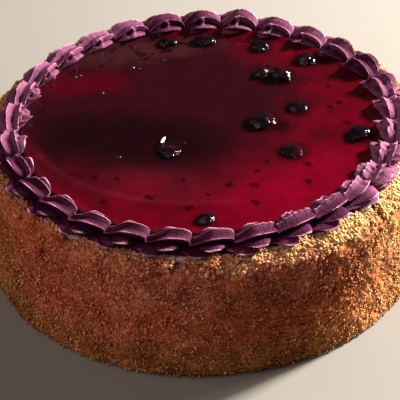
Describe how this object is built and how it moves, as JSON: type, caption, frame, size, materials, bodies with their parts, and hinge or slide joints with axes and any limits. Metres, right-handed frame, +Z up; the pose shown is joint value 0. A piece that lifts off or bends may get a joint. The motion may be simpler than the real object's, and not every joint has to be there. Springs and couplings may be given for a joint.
{
  "type": "currant cake",
  "caption": "Whole round cake with a crumb-coated side, a glossy currant jelly top with whole berries and a piped shell border.",
  "frame": {"origin": "centre of the flat underside of the cake", "axes": "+Z up through the middle of the jelly, -Y towards the side seen in the picture, +X to its right"},
  "size_m": [0.2213, 0.2214, 0.0766],
  "materials": {
    "crumb_coat": "dry golden brown cake crumbs",
    "white_cream": "soft white cream",
    "jelly": "clear glossy dark crimson currant jelly",
    "currant_buttercream": "satin mauve buttercream, ridged by a star nozzle",
    "currant_skin": "wet near-black berry skin"
  },
  "bodies": {
    "root": {"crumb_cake": "crumb_coat", "cream_layer": "white_cream", "currant_jelly": "jelly", "piped_border": "currant_buttercream", "currant_1": "currant_skin", "currant_2": "currant_skin", "currant_3": "currant_skin", "currant_4": "currant_skin", "currant_5": "currant_skin", "currant_6": "currant_skin", "currant_7": "currant_skin", "currant_8": "currant_skin", "currant_9": "currant_skin", "currant_10": "currant_skin", "currant_11": "currant_skin", "currant_12": "currant_skin"}
  },
  "joints": []
}
